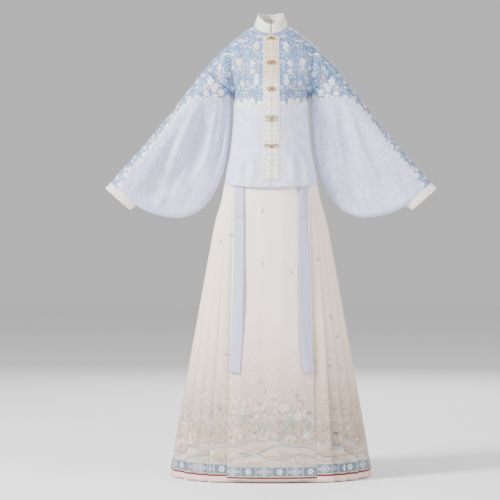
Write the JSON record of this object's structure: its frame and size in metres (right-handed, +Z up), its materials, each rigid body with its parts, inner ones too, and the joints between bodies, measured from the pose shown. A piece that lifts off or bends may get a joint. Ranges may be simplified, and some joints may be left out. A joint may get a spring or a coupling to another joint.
{
  "type": "hanfu dress",
  "caption": "Filled-out hanfu set: stand-collar jacket with wide curved sleeves and metal clasps over a long pleated wrap skirt with flat panels and ribbon ties.",
  "frame": {"origin": "middle of the neck opening, level with the shoulders, where the wearer's neck and shoulders hold the set", "axes": "+Z up; -Y out of the front of the garment; +X to the right as seen from the front"},
  "size_m": [1.0222, 0.477, 1.4293],
  "materials": {
    "lavender_damask": "satin damask",
    "ivory_brocade": "brocade",
    "skirt_cloth": "soft twill",
    "white_cotton": "plain weave",
    "lavender_ribbon": "plain weave",
    "gilt_metal": "aged"
  },
  "bodies": {
    "root": {"stand_collar": "ivory_brocade", "jacket_left": "lavender_damask", "jacket_right": "lavender_damask", "sleeve_left": "lavender_damask", "sleeve_right": "lavender_damask", "cuff_left": "ivory_brocade", "cuff_right": "ivory_brocade", "placket_left": "ivory_brocade", "placket_right": "ivory_brocade", "clasp_1": "gilt_metal", "clasp_2": "gilt_metal", "clasp_3": "gilt_metal", "clasp_4": "gilt_metal", "clasp_5": "gilt_metal", "skirt_waistband": "white_cotton", "skirt_front_outer": "skirt_cloth", "skirt_front_inner": "skirt_cloth", "skirt_back_outer": "skirt_cloth", "skirt_back_inner": "skirt_cloth", "pleats_left": "skirt_cloth", "pleats_right": "skirt_cloth", "tie_long_left": "lavender_ribbon", "tie_long_right": "lavender_ribbon", "tie_fold_left": "lavender_ribbon", "tie_fold_right": "lavender_ribbon"}
  },
  "joints": []
}
